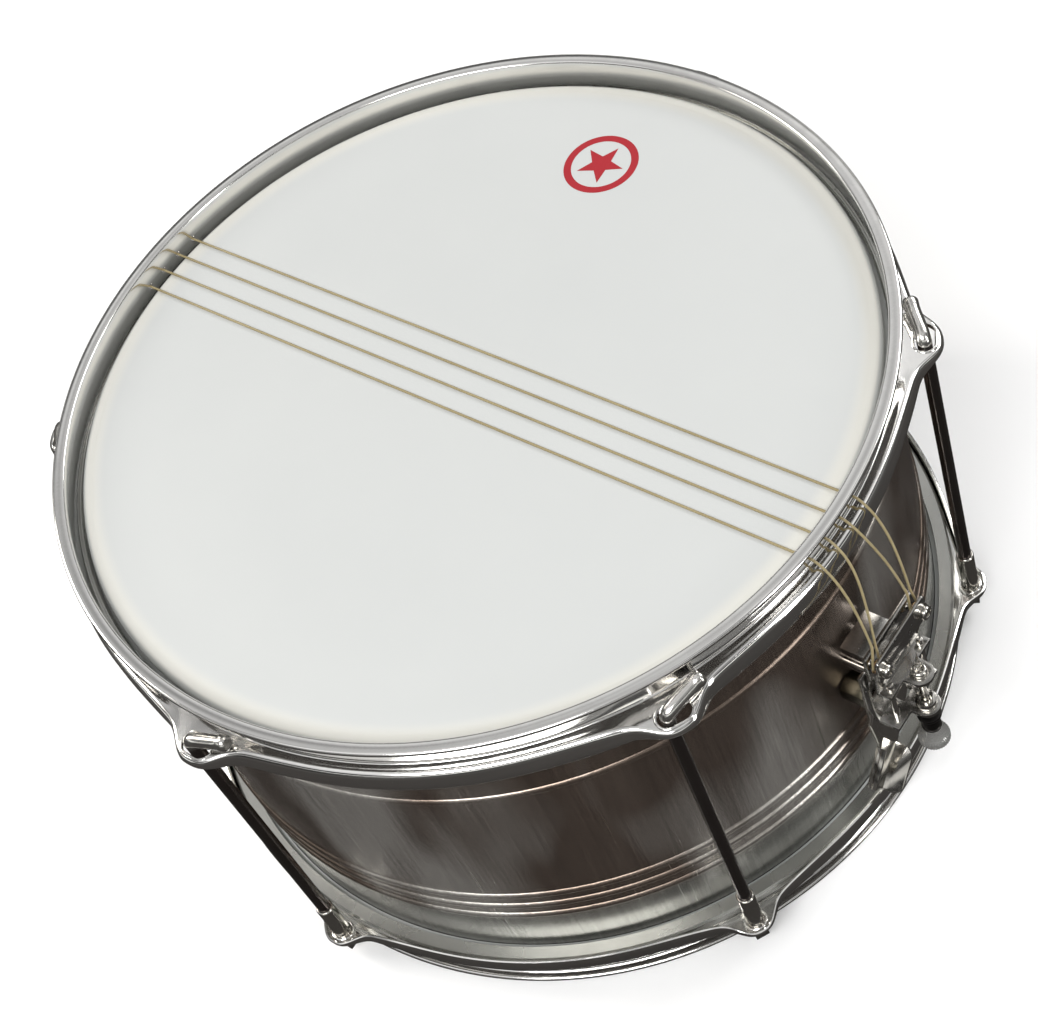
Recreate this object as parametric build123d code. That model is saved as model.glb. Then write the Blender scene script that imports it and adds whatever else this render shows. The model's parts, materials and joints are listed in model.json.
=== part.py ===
from build123d import *
import math
import os

# Marching snare drum, millimetres. The drum stands on its bottom rim: the origin is
# on the drum's axis in the plane of that rim, +Z is up, and +X points at the strainer.
# Gut snares lie on top of the batter head, along X, from a butt clamp to the strainer.

# ---------------------------------------------------------------- driving sizes
HEIGHT = 213.0             # rim to rim

SHELL_OUTER = 176.0        # radius
SHELL_WALL = 1.3
HEAD_DEPTH = 10.5          # playing surface below the rim
BEAD_HEIGHT = 1.2          # how far a bead stands out of the shell
BEAD_WIDTH = 4.0
BEAD_LEVELS = (50.0, 59.5, 69.0, 156.0)

FILM = 0.4                 # thickness of a head
FILM_GAP = 0.2             # between the shell and the collar of a head

RIM_OUTER = 186.0          # rolled lip of a hoop
RIM_THICK = 2.2
WALL_INNER = 180.0
SHEET = 1.5                # hoop sheet
SHELF_DEPTH = 14.0         # top of the hoop's shelf below the rim
SKIRT_OUTER = 187.6
SKIRT_DEPTH = 24.0         # free edge of the skirt below the rim
SHOULDER = 3.0             # bend between shelf and skirt
LIP_EDGE = 0.7             # chamfer of the rolled lip

FLESH_TOP = HEIGHT - SHELF_DEPTH - SHEET    # the hoop's shelf presses here
FLESH_INNER = 178.5
FLESH_OUTER = 185.0
FLESH_HEIGHT = 6.2

LUGS = 6
FIRST_LUG = 30.0           # degrees from the strainer
ROD_CIRCLE = 192.5
EAR_RADIUS = 7.5
EAR_NECK = 2.5             # inside the rod circle, where the round lobe starts
EAR_DEPTH = 16.4           # top of an ear below the rim
EAR_THICK = 1.6
EAR_FLARE = 32.0           # half width of an ear where it leaves the skirt
EAR_HOLE = 8.4
EAR_SLOT = 14.5            # length of the hole in a top ear

ROD = 6.0                  # tension rod diameter
ROD_TOP = 200.0            # height at which the rod turns over the ear
ROD_BOTTOM = 24.0
HOOK_BEND = 3.5
HOOK_ALONG = 18.0
HOOK_INWARD = 5.1
HOOK_RISE = 3.3

NUT_OUTER = 8.0            # tube nut that the rod screws into
NUT_BORE = 6.14
NUT_TOP = 44.0
NUT_COLLAR = 9.6
COLLAR_THICK = 1.5
KEY_HEAD = 6.35            # square head, across flats
KEY_LOW = 6.8              # foot of the square head
EAR_FLOOR = EAR_DEPTH      # underside of a bottom ear
WASHER = 1.0

SNARE = 1.1                # gut diameter
SNARE_LEVEL = 203.05
SNARE_HOLE = 2.6
SNARE_SPREAD = (-15.9, -5.3, 5.3, 15.9)

TRAVEL = 8.5               # rise of the tension slide when the lever is thrown
PIVOT_LEVEL = 95.0         # lever pivot
RUNNING = 0.05             # radial clearance of a running fit


# ---------------------------------------------------------------- helpers
def save(shape, node):
    export_step(shape, f"parts/{node}.step")


def ring(points):
    """Solid of revolution about Z of a closed (radius, height) outline."""
    with BuildPart() as body:
        with BuildSketch(Plane.XZ):
            with BuildLine():
                Polyline(*points, close=True)
            make_face()
        revolve(axis=Axis.Z)
    return body.part


def block(low, high):
    """Box from its lowest to its highest corner."""
    size = [b - a for a, b in zip(low, high)]
    middle = [(a + b) / 2 for a, b in zip(low, high)]
    return Pos(*middle) * Box(*size)


def rod_x(x0, x1, diameter, y, z):
    """Round bar along X."""
    return Pos((x0 + x1) / 2, y, z) * Rot(0, 90, 0) * Cylinder(diameter / 2, x1 - x0)


def rod_z(z0, z1, diameter, x, y):
    """Round bar along Z."""
    return Pos(x, y, (z0 + z1) / 2) * Cylinder(diameter / 2, z1 - z0)


def hex_x(x0, x1, flats, y, z):
    """Hexagonal bar along X."""
    bar = extrude(RegularPolygon(flats / 2, 6, major_radius=False), x1 - x0)
    return Pos(x0, y, z) * Rot(0, 90, 0) * bar


def plate_x(x0, x1, outline):
    """Plate across X with an outline of (y, z) points."""
    face = make_face(Polyline(*[(x0, y, z) for y, z in outline], close=True))
    return extrude(face, amount=x1 - x0, dir=(1, 0, 0))


def pan_head_x(x0, x1, diameter, y, z):
    """Pan head whose crown faces +X, with a cross recess."""
    head = rod_x(x0, x1, diameter, y, z)
    head = fillet(head.edges().sort_by(Axis.X)[-1], 0.4 * (x1 - x0))
    depth = 0.5 * (x1 - x0)
    slot = 0.16 * diameter
    span = 0.55 * diameter
    for wide, tall in ((span, slot), (slot, span)):
        head -= block(
            (x1 - depth, y - wide / 2, z - tall / 2), (x1 + 1, y + wide / 2, z + tall / 2)
        )
    return head


def around(shape):
    """Copies of a shape made at azimuth 0, one at each lug."""
    step = 360 / LUGS
    return [Rot(0, 0, FIRST_LUG + i * step) * shape for i in range(LUGS)]


def upside_down(shape):
    """The same piece at the other end of the drum."""
    return Pos(0, 0, HEIGHT) * Rot(180, 0, 0) * shape


# ---------------------------------------------------------------- drum
def make_shell():
    """Thin metal tube with rolled beads and rounded bearing edges."""
    top = HEIGHT - HEAD_DEPTH - FILM
    bottom = HEAD_DEPTH + FILM
    inner = SHELL_OUTER - SHELL_WALL
    edge = 1.0
    half = BEAD_WIDTH / 2
    with BuildPart() as shell:
        with BuildSketch(Plane.XZ):
            with BuildLine():
                at = bottom + edge
                for z in BEAD_LEVELS:
                    Line((SHELL_OUTER, at), (SHELL_OUTER, z - half))
                    ThreePointArc(
                        (SHELL_OUTER, z - half),
                        (SHELL_OUTER + BEAD_HEIGHT, z),
                        (SHELL_OUTER, z + half),
                    )
                    at = z + half
                Line((SHELL_OUTER, at), (SHELL_OUTER, top - edge))
                Line((SHELL_OUTER, top - edge), (SHELL_OUTER - edge, top))
                Line((SHELL_OUTER - edge, top), (inner, top))
                at = top
                for z in reversed(BEAD_LEVELS):
                    Line((inner, at), (inner, z + half))
                    ThreePointArc((inner, z + half), (inner + BEAD_HEIGHT, z), (inner, z - half))
                    at = z - half
                Line((inner, at), (inner, bottom))
                Line((inner, bottom), (SHELL_OUTER - edge, bottom))
                Line((SHELL_OUTER - edge, bottom), (SHELL_OUTER, bottom + edge))
            make_face()
        revolve(axis=Axis.Z)
    return shell.part


def make_head():
    """Playing surface, collar over the shell's edge and a hem held by the flesh hoop."""
    top = HEIGHT - HEAD_DEPTH
    inside = SHELL_OUTER + FILM_GAP
    hem = FLESH_TOP - 3.0
    return ring(
        [
            (0, top),
            (SHELL_OUTER - 1.0, top),
            (inside + FILM, top - 1.6),
            (inside + FILM, hem),
            (FLESH_INNER, hem),
            (FLESH_INNER, hem - FILM),
            (inside, hem - FILM),
            (inside, top - FILM - 1.1),
            (SHELL_OUTER - 1.0, top - FILM),
            (0, top - FILM),
        ]
    )


def make_flesh_hoop():
    """Aluminium ring that grips the hem of the head."""
    low = FLESH_TOP - FLESH_HEIGHT
    return ring(
        [
            (FLESH_INNER, FLESH_TOP - 0.8),
            (FLESH_INNER + 0.8, FLESH_TOP),
            (FLESH_OUTER - 1.6, FLESH_TOP),
            (FLESH_OUTER, FLESH_TOP - 1.6),
            (FLESH_OUTER, low + 1.0),
            (FLESH_OUTER - 1.0, low),
            (FLESH_INNER, low),
        ]
    )


def make_ear(slot):
    """Flat ear at azimuth 0 that the tension rod or nut passes through."""
    top = HEIGHT - EAR_DEPTH
    root = SKIRT_OUTER - SHEET / 2
    neck = ROD_CIRCLE - EAR_NECK
    side = math.sqrt(EAR_RADIUS**2 - EAR_NECK**2)
    lobe = Pos(ROD_CIRCLE, 0) * Circle(EAR_RADIUS)
    sweep_back = math.sqrt(root**2 - EAR_FLARE**2)
    flare = make_face(
        Polyline(
            (sweep_back, -EAR_FLARE),
            (neck, -side),
            (neck, side),
            (sweep_back, EAR_FLARE),
            close=True,
        )
    )
    hole = Pos(ROD_CIRCLE, 0) * Circle(EAR_HOLE / 2)
    if slot > EAR_HOLE:
        far = slot - EAR_HOLE
        hole += Pos(ROD_CIRCLE, far / 2) * Rectangle(EAR_HOLE, far)
        hole += Pos(ROD_CIRCLE, far) * Circle(EAR_HOLE / 2)
    outline = lobe + flare - hole - Circle(root)
    return Pos(0, 0, top - EAR_THICK) * extrude(outline, EAR_THICK)


def make_hoop(slot):
    """Pressed hoop: rolled lip, wall, shelf, shoulder, skirt and six ears."""
    lip_low = HEIGHT - RIM_THICK
    shelf = HEIGHT - SHELF_DEPTH
    wall = WALL_INNER + SHEET
    edge = HEIGHT - SKIRT_DEPTH
    inner_bend = SHOULDER - SHEET
    middle = SKIRT_OUTER - SHOULDER
    turn = math.sqrt(0.5)
    level = shelf - SHOULDER
    with BuildPart() as hoop:
        with BuildSketch(Plane.XZ):
            with BuildLine():
                Polyline(
                    (WALL_INNER, HEIGHT - LIP_EDGE),
                    (WALL_INNER + LIP_EDGE, HEIGHT),
                    (RIM_OUTER - LIP_EDGE, HEIGHT),
                    (RIM_OUTER, HEIGHT - LIP_EDGE),
                    (RIM_OUTER, lip_low + LIP_EDGE),
                    (RIM_OUTER - LIP_EDGE, lip_low),
                    (wall, lip_low),
                    (wall, shelf),
                    (middle, shelf),
                )
                ThreePointArc(
                    (middle, shelf),
                    (middle + SHOULDER * turn, level + SHOULDER * turn),
                    (SKIRT_OUTER, level),
                )
                Polyline(
                    (SKIRT_OUTER, level),
                    (SKIRT_OUTER, edge),
                    (SKIRT_OUTER - SHEET, edge),
                    (SKIRT_OUTER - SHEET, level),
                )
                ThreePointArc(
                    (SKIRT_OUTER - SHEET, level),
                    (middle + inner_bend * turn, level + inner_bend * turn),
                    (middle, shelf - SHEET),
                )
                Polyline(
                    (middle, shelf - SHEET),
                    (WALL_INNER, shelf - SHEET),
                    (WALL_INNER, HEIGHT - LIP_EDGE),
                )
            make_face()
        revolve(axis=Axis.Z)
    body = hoop.part
    for ear in around(make_ear(slot)):
        body += ear
    return body


def make_top_hoop():
    """The snares leave the drum through small holes in the wall of this hoop."""
    hoop = make_hoop(EAR_SLOT)
    for y in SNARE_SPREAD:
        hoop -= rod_x(-WALL_INNER - 4, WALL_INNER + 4, SNARE_HOLE, y, SNARE_LEVEL)
    return hoop


def make_tension_rods():
    """Straight rod whose top is bent into a hook that lies on the ear and the shelf."""
    path = FilletPolyline(
        (ROD_CIRCLE, 0, ROD_BOTTOM),
        (ROD_CIRCLE, 0, ROD_TOP),
        (ROD_CIRCLE - HOOK_INWARD, HOOK_ALONG, ROD_TOP + HOOK_RISE),
        radius=HOOK_BEND,
    )
    section = Pos(ROD_CIRCLE, 0, ROD_BOTTOM) * Circle(ROD / 2)
    return Compound(children=around(sweep(section, path=path)))


def make_nut_washers():
    """Flat washer between each bottom ear and its tube nut."""
    disc = rod_z(EAR_FLOOR - WASHER, EAR_FLOOR, NUT_COLLAR, ROD_CIRCLE, 0)
    disc -= rod_z(0, 30, NUT_OUTER + 0.4, ROD_CIRCLE, 0)
    return Compound(children=around(disc))


def make_tension_nut():
    """Tube nut with a collar under the ear and a square head for the drum key."""
    collar_top = EAR_FLOOR - WASHER - RUNNING
    collar_low = collar_top - COLLAR_THICK
    nut = rod_z(collar_low, NUT_TOP, NUT_OUTER, ROD_CIRCLE, 0)
    nut = chamfer(nut.edges().sort_by(Axis.Z)[-1], 0.5)
    nut += rod_z(collar_low, collar_top, NUT_COLLAR, ROD_CIRCLE, 0)
    half = KEY_HEAD / 2
    nut += block(
        (ROD_CIRCLE - half, -half, KEY_LOW), (ROD_CIRCLE + half, half, collar_low)
    )
    nut -= rod_z(ROD_BOTTOM - 4, NUT_TOP + 1, NUT_BORE, ROD_CIRCLE, 0)
    return nut


# ---------------------------------------------------------------- snares
def snare_route(y):
    """Route of one snare: (x, y, z) points from the butt clamp to the strainer clamp."""
    side = math.copysign(1, y)
    outer = abs(y) > 10
    end = side * (15.0 if outer else 12.8)
    low = side * (15.4 if outer else 10.0)
    high = side * (15.9 if outer else 6.0)
    half = [
        (184.5, y, SNARE_LEVEL),
        (192.5, high, 192.0),
        (197.6, low, 170.0),
        (199.3, end, 149.8),
    ]
    return [(-x, v, z) for x, v, z in reversed(half)] + half


def corner_radii(points):
    """0.45 of the shorter run at each corner, over the tangent of half the turn."""
    vectors = [Vector(*p) for p in points]
    runs = [b - a for a, b in zip(vectors, vectors[1:])]
    radii = []
    for before, after in zip(runs, runs[1:]):
        half_turn = math.radians(before.get_angle(after)) / 2
        radii.append(0.45 * min(before.length, after.length) / math.tan(half_turn))
    return radii


def make_snare(y):
    """One gut snare as a plain tube along its route."""
    points = snare_route(y)
    radii = corner_radii(points)
    path = FilletPolyline(*points, radius=radii)
    start = Plane(origin=path @ 0, z_dir=path % 0)
    tube = sweep(start * Circle(SNARE / 2), path=path)
    straight = math.pi * SNARE**2 / 4 * path.length
    print(
        f"snare at {y}: {path.length:.1f} long, radii",
        [round(r, 1) for r in radii],
        f"volume ratio {tube.volume / straight:.4f}",
    )
    return tube


# ---------------------------------------------------------------- strainer
# Layers of the strainer, as distances from the drum's axis.
BASE_X = (187.5, 189.0)
LEVER_X = (189.4, 191.2)
SLIDE_X = (191.8, 193.4)
CLAMP_X = (195.6, 197.4)
BAR_BACK = 201.0           # back face of a clamp's front bar
WASHER_THIN = 0.6

STANDOFF_Y = 10.4
STANDOFF_LEVEL = 97.5
STUD_Y = 7.0
STUD_LEVEL = 112.0
CLAMP_SCREW_Y = 15.2
CLAMP_LEVEL = 136.0
CLAMP_TOP = 143.2
GUIDE_X = 200.4
GUIDE_Y = 12.0
ADJUST_X = 207.0
TAB_LEVEL = 112.0
CAM_RADIUS = TRAVEL / math.sqrt(2)
CAM_PIN = 3.0
CAM_ROOM = 0.3             # between the cam pin and its slot
STANDOFF_FLATS = 11.0
SCREW = 3.4                # fixing screws of base and standoffs
STUD = 4.0                 # guide studs
STUD_COLLAR = 6.4          # behind the slide
STUD_HEAD = 7.0
PIVOT = 5.0
GUIDE_PIN = 3.0
ADJUSTER = 4.0
CLAMP_SCREW = 3.5
CLAMP_HALF = 18.5          # half width of the clamp's plate and bar
FLANGE_LOW = 87.0          # lower flange of the slide
FLANGE_TOP = 89.0
FLANGE_REACH = 203.0       # where the flange narrows to the nose round the adjuster
NOSE_HALF = 6.0
KNOB_LOW = 60.0
KNOB_TOP = 80.0
BAR_FRONT = 202.5          # front face of the strainer's clamp bar
BUTT_BAR_FRONT = 205.5     # the butt's bar is thicker
BUTT_RISE = 9.0            # the butt clamp sits this much higher than the strainer's
STRAINER_END = Rot(0, 0, 0)
BUTT_END = Rot(0, 0, 180)


def make_strainer_base():
    """Folded bracket: a wall in front of the shell and a short top plate."""
    wall = plate_x(
        *BASE_X,
        [(-16, 86), (16, 86), (16, 104), (10.2, 108), (10.2, 127.3)]
        + [(-10.2, 127.3), (-10.2, 108), (-16, 104)],
    )
    top = block((177.6, -10.2, 125.8), (BASE_X[1], 10.2, 127.3))
    base = wall + top
    for side in (-1, 1):
        head = Cone(1.8, 3.3, BASE_X[1] - BASE_X[0])
        middle = (BASE_X[0] + BASE_X[1]) / 2
        base -= Pos(middle, side * STANDOFF_Y, STANDOFF_LEVEL) * Rot(0, 90, 0) * head
        base -= rod_x(BASE_X[0] - 1, BASE_X[1] + 1, STUD + 0.2, side * STUD_Y, STUD_LEVEL)
    base -= rod_x(BASE_X[0] - 1, BASE_X[1] + 1, PIVOT + 2 * RUNNING, 0, PIVOT_LEVEL)
    return base


def make_standoffs():
    """Bronze hexagonal spacers between the shell and the base."""
    bars = []
    for side in (-1, 1):
        y = side * STANDOFF_Y
        bar = hex_x(SHELL_OUTER + 0.1, BASE_X[0], STANDOFF_FLATS, y, STANDOFF_LEVEL)
        bar -= rod_x(SHELL_OUTER - 1, BASE_X[0] + 1, SCREW + 0.3, y, STANDOFF_LEVEL)
        bars.append(bar)
    return Compound(children=bars)


def make_base_screws():
    """Countersunk screws from the front into the standoffs."""
    screws = []
    for side in (-1, 1):
        y = side * STANDOFF_Y
        middle = (BASE_X[0] + BASE_X[1]) / 2
        head = Pos(middle, y, STANDOFF_LEVEL) * Rot(0, 90, 0) * Cone(1.7, 3.2, 1.5)
        screw = head + rod_x(183.0, BASE_X[0] + 0.2, SCREW, y, STANDOFF_LEVEL)
        for wide, tall in ((3.2, 0.8), (0.8, 3.2)):
            screw -= block(
                (BASE_X[1] - 0.8, y - wide / 2, STANDOFF_LEVEL - tall / 2),
                (BASE_X[1] + 1, y + wide / 2, STANDOFF_LEVEL + tall / 2),
            )
        screws.append(screw)
    return Compound(children=screws)


def make_shell_screws():
    """Pan screws from inside the shell; the heads lie against its inner face."""
    inner = SHELL_OUTER - SHELL_WALL
    screws = []
    for side in (-1, 1):
        y = side * STANDOFF_Y
        head = rod_x(inner - 3.6, inner - 0.9, 7.0, y, STANDOFF_LEVEL)
        screws.append(head + rod_x(inner - 1.0, 182.0, SCREW, y, STANDOFF_LEVEL))
    return Compound(children=screws)


def make_guide_studs():
    """Shouldered studs through shell and base; their heads keep the slide in place."""
    studs = []
    for side in (-1, 1):
        y = side * STUD_Y
        head_low = SLIDE_X[1] + 0.3
        stud = rod_x(170.2, head_low + 0.1, STUD, y, STUD_LEVEL)
        stud += rod_x(head_low, head_low + 1.5, STUD_HEAD, y, STUD_LEVEL)
        stud += rod_x(BASE_X[1], SLIDE_X[0] - 0.3, STUD_COLLAR, y, STUD_LEVEL)
        studs.append(stud)
    return Compound(children=studs)


def make_stud_nuts():
    """Hexagonal nuts inside the shell."""
    inner = SHELL_OUTER - SHELL_WALL
    nuts = []
    for side in (-1, 1):
        y = side * STUD_Y
        nut = hex_x(inner - 3.6, inner - 0.5, 7.0, y, STUD_LEVEL)
        nut -= rod_x(inner - 5, inner + 1, STUD + 2 * RUNNING, y, STUD_LEVEL)
        nuts.append(nut)
    return Compound(children=nuts)


def make_pivot_bolt():
    """Bolt that the throw lever turns on."""
    bolt = rod_x(183.5, 192.0, PIVOT, 0, PIVOT_LEVEL)
    bolt += rod_x(LEVER_X[1] + 0.3, 192.9, PIVOT + 1.0, 0, PIVOT_LEVEL)
    bolt += hex_x(183.9, BASE_X[0], 7.0, 0, PIVOT_LEVEL)
    return bolt


def make_throw_lever():
    """Cranked sheet lever with channel flanges, a bent finger tab and a cam pin."""
    x0, x1 = LEVER_X
    plate = plate_x(
        x0,
        x1,
        [(-12.5, 98), (-19, 86), (-17, 66), (-30, 50), (-22, 36.5), (-6, 53), (4.5, 68)]
        + [(11, 82), (11, 98), (6, 103.5), (-7, 103.5)],
    )
    plate = fillet(plate.edges().filter_by(Axis.X), 2.0)
    left = plate_x(x0, x1 + 2.6, [(-18.0, 64.8), (-30, 50), (-28.7, 48.9), (-16.7, 63.7)])
    tab_end = 200.0
    tab = plate_x(x0, tab_end, [(-23.0, 37.6), (-22, 36.5), (-6, 53), (-7.0, 54.1)])
    corners = [e for e in tab.edges() if e.center().X > tab_end - 0.1 and e.length < 3]
    tab = fillet(corners, 5.0)
    lever = plate + left + tab
    lever -= rod_x(x0 - 1, x1 + 1, PIVOT + 2 * RUNNING, 0, PIVOT_LEVEL)
    turn = math.radians(-45)
    pin_y = CAM_RADIUS * math.cos(turn)
    pin_z = PIVOT_LEVEL + CAM_RADIUS * math.sin(turn)
    lever += rod_x(x1 - 0.2, SLIDE_X[1] + 0.8, CAM_PIN, pin_y, pin_z)
    return lever


def make_tension_slide():
    """Plate that the lever lifts: stud slots, cam slot, side legs and lower flange."""
    x0, x1 = SLIDE_X
    plate = plate_x(x0, x1, [(-20, 104), (-16, 87), (16, 87), (20, 104), (20, 128), (-20, 128)])
    for side in (-1, 1):
        low = (x0 - 1, min(side * 16.2, side * 11.6), 106)
        high = (x1 + 1, max(side * 16.2, side * 11.6), 130)
        plate -= block(low, high)
        slot_low = STUD_LEVEL - TRAVEL - 2.1
        y = side * STUD_Y
        plate -= block((x0 - 1, y - 2.2, slot_low), (x1 + 1, y + 2.2, STUD_LEVEL))
        plate -= rod_x(x0 - 1, x1 + 1, 4.4, y, STUD_LEVEL)
    cam_z = PIVOT_LEVEL - CAM_RADIUS / math.sqrt(2)
    gap = CAM_PIN / 2 + CAM_ROOM
    plate -= block((x0 - 1, 1.0, cam_z - gap), (x1 + 1, 8.2, cam_z + gap))
    plate -= block(
        (x0 - 1, -3.4, PIVOT_LEVEL - TRAVEL - 3.4), (x1 + 1, 3.4, PIVOT_LEVEL + 3.4)
    )
    flange = block((x0, -16, FLANGE_LOW), (FLANGE_REACH, 16, FLANGE_TOP))
    nose = block((FLANGE_REACH, -NOSE_HALF, FLANGE_LOW), (ADJUST_X, NOSE_HALF, FLANGE_TOP))
    nose += rod_z(FLANGE_LOW, FLANGE_TOP, 2 * NOSE_HALF, ADJUST_X, 0)
    slide = plate + flange + nose
    slide -= rod_z(FLANGE_LOW - 1, FLANGE_TOP + 1, ADJUSTER + 0.6, ADJUST_X, 0)
    slide -= block((x0 - 1, -3.4, FLANGE_LOW - 1), (198.0, 3.4, FLANGE_TOP + 0.5))
    slide -= block((x1, 0, FLANGE_LOW - 1), (195.0, 8.2, FLANGE_TOP + 0.5))
    return slide


def make_guide_pins():
    """Round pins that keep the clamp square to the slide."""
    top = TAB_LEVEL + 5.5
    return Compound(
        children=[rod_z(FLANGE_TOP, top, GUIDE_PIN, GUIDE_X, side * GUIDE_Y) for side in (-1, 1)]
    )


def make_adjuster_nut():
    """Round nut fixed on the slide's lower flange; the adjuster screws through it."""
    top = FLANGE_TOP + 4.5
    nut = rod_z(FLANGE_TOP, top, 9.0, ADJUST_X, 0)
    nut -= rod_z(FLANGE_TOP - 1, top + 1, ADJUSTER + 2 * RUNNING, ADJUST_X, 0)
    return nut


def make_clamp_bracket():
    """Back plate of the snare clamp, folded into a tab for the adjuster."""
    x0, x1 = CLAMP_X
    wide = CLAMP_HALF
    plate = plate_x(
        x0,
        x1,
        [(-16, TAB_LEVEL), (16, TAB_LEVEL), (16, 126), (wide, 129), (wide, CLAMP_TOP)]
        + [(-wide, CLAMP_TOP), (-wide, 129), (-16, 126)],
    )
    tab_top = TAB_LEVEL + 2
    tab = block((x0, -16, TAB_LEVEL), (FLANGE_REACH, 16, tab_top))
    nose = block((FLANGE_REACH, -NOSE_HALF, TAB_LEVEL), (ADJUST_X, NOSE_HALF, tab_top))
    nose += rod_z(TAB_LEVEL, tab_top, 2 * NOSE_HALF, ADJUST_X, 0)
    bracket = plate + tab + nose
    bracket -= rod_z(TAB_LEVEL - 1, tab_top + 1, ADJUSTER + 2 * RUNNING, ADJUST_X, 0)
    for side in (-1, 1):
        pin = GUIDE_PIN + 2 * RUNNING
        bracket -= rod_z(TAB_LEVEL - 1, tab_top + 1, pin, GUIDE_X, side * GUIDE_Y)
        bracket -= rod_x(x0 - 1, x1 + 1, CLAMP_SCREW + 0.2, side * CLAMP_SCREW_Y, CLAMP_LEVEL)
    return bracket


def make_clamp_bar(level, front, turned):
    """Front bar that presses the snares against the plate behind."""
    bar = block((BAR_BACK, -CLAMP_HALF, level - 6.9), (front, CLAMP_HALF, level + 7.3))
    bar = fillet(bar.edges().filter_by(Axis.X), 1.5)
    for side in (-1, 1):
        bar -= rod_x(BAR_BACK - 1, front + 1, CLAMP_SCREW + 0.3, side * CLAMP_SCREW_Y, level)
    return turned * bar


def make_clamp_screws(level, front, turned):
    """Pan-head screws that close the clamp."""
    seat = front + WASHER_THIN
    screws = []
    for side in (-1, 1):
        y = side * CLAMP_SCREW_Y
        screw = pan_head_x(seat, seat + 2.6, 6.5, y, level)
        screw += rod_x(CLAMP_X[0] - 0.2, seat + 0.2, CLAMP_SCREW, y, level)
        screws.append(turned * screw)
    return Compound(children=screws)


def make_clamp_washers(level, front, turned):
    """Washers under the clamp screws."""
    discs = []
    for side in (-1, 1):
        y = side * CLAMP_SCREW_Y
        disc = rod_x(front, front + WASHER_THIN, 7.4, y, level)
        disc -= rod_x(front - 1, front + 3, CLAMP_SCREW + 0.3, y, level)
        discs.append(turned * disc)
    return Compound(children=discs)


def make_snare_loops(level, turned):
    """Ends of the snares, looped round the clamp screws."""
    loops = []
    for side in (-1, 1):
        loop = Torus(2.6, SNARE / 2)
        loop = Pos(199.2, side * CLAMP_SCREW_Y, level) * Rot(0, 90, 0) * loop
        loops.append(turned * loop)
    return Compound(children=loops)


def make_adjuster_screw():
    """Long screw: pan head on the clamp's tab, thread through the adjuster nut."""
    top = TAB_LEVEL + 2
    head = rod_z(top + 0.05, top + 3.0, 7.0, ADJUST_X, 0)
    head = fillet(head.edges().sort_by(Axis.Z)[-1], 1.2)
    screw = head + rod_z(KNOB_LOW + 2, top + 1.0, ADJUSTER, ADJUST_X, 0)
    for wide, deep in ((3.8, 1.0), (1.0, 3.8)):
        screw -= block(
            (ADJUST_X - wide / 2, -deep / 2, top + 1.8), (ADJUST_X + wide / 2, deep / 2, top + 4)
        )
    return screw


def make_adjuster_collar():
    """Collar that limits how far the adjuster screws down."""
    top = KNOB_TOP + 1.8
    disc = rod_z(KNOB_TOP, top, 10.5, ADJUST_X, 0)
    return disc - rod_z(KNOB_TOP - 1, top + 1, ADJUSTER + 0.2, ADJUST_X, 0)


def make_adjuster_knob():
    """Turned knob: slim neck that flares to a milled foot."""
    bore = ADJUSTER / 2 + 0.1
    floor = KNOB_LOW + 1.9
    with BuildPart() as knob:
        with BuildSketch(Plane.XZ):
            with BuildLine():
                Polyline((bore, KNOB_TOP), (3.9, KNOB_TOP), (4.1, 71))
                ThreePointArc((4.1, 71), (5.0, 66.6), (7.0, 63.8))
                Polyline((7.0, 63.8), (7.0, 60.8), (6.2, KNOB_LOW), (0, KNOB_LOW), (0, floor))
                Polyline((0, floor), (bore, floor), (bore, KNOB_TOP))
            make_face()
        revolve(axis=Axis.Z)
    return Pos(ADJUST_X, 0, 0) * knob.part


# ---------------------------------------------------------------- butt end
def make_butt_bracket():
    """Fixed plate opposite the strainer, held off the shell by the same standoffs."""
    top = CLAMP_TOP + BUTT_RISE
    low_wall = plate_x(*BASE_X, [(-16, 88), (16, 88), (16, 110.5), (-16, 110.5)])
    shelf = block((BASE_X[0], -16, 109), (CLAMP_X[1], 16, 110.5))
    wide = CLAMP_HALF
    plate = plate_x(
        *CLAMP_X,
        [(-16, 109), (16, 109), (wide, 130), (wide, top), (-wide, top), (-wide, 130)],
    )
    bracket = low_wall + shelf + plate
    for side in (-1, 1):
        head = Cone(1.8, 3.3, BASE_X[1] - BASE_X[0])
        middle = (BASE_X[0] + BASE_X[1]) / 2
        bracket -= Pos(middle, side * STANDOFF_Y, STANDOFF_LEVEL) * Rot(0, 90, 0) * head
        level = CLAMP_LEVEL + BUTT_RISE
        y = side * CLAMP_SCREW_Y
        bracket -= rod_x(CLAMP_X[0] - 1, CLAMP_X[1] + 1, CLAMP_SCREW + 0.2, y, level)
    return BUTT_END * bracket


def drill_shell(shell):
    """Holes for the strainer's and the butt's fixings."""
    for side in (-1, 1):
        shell -= rod_x(-185, -165, SCREW + 0.4, side * STANDOFF_Y, STANDOFF_LEVEL)
        shell -= rod_x(165, 185, SCREW + 0.4, side * STANDOFF_Y, STANDOFF_LEVEL)
        shell -= rod_x(165, 185, STUD + 0.2, side * STUD_Y, STUD_LEVEL)
    return shell


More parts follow.
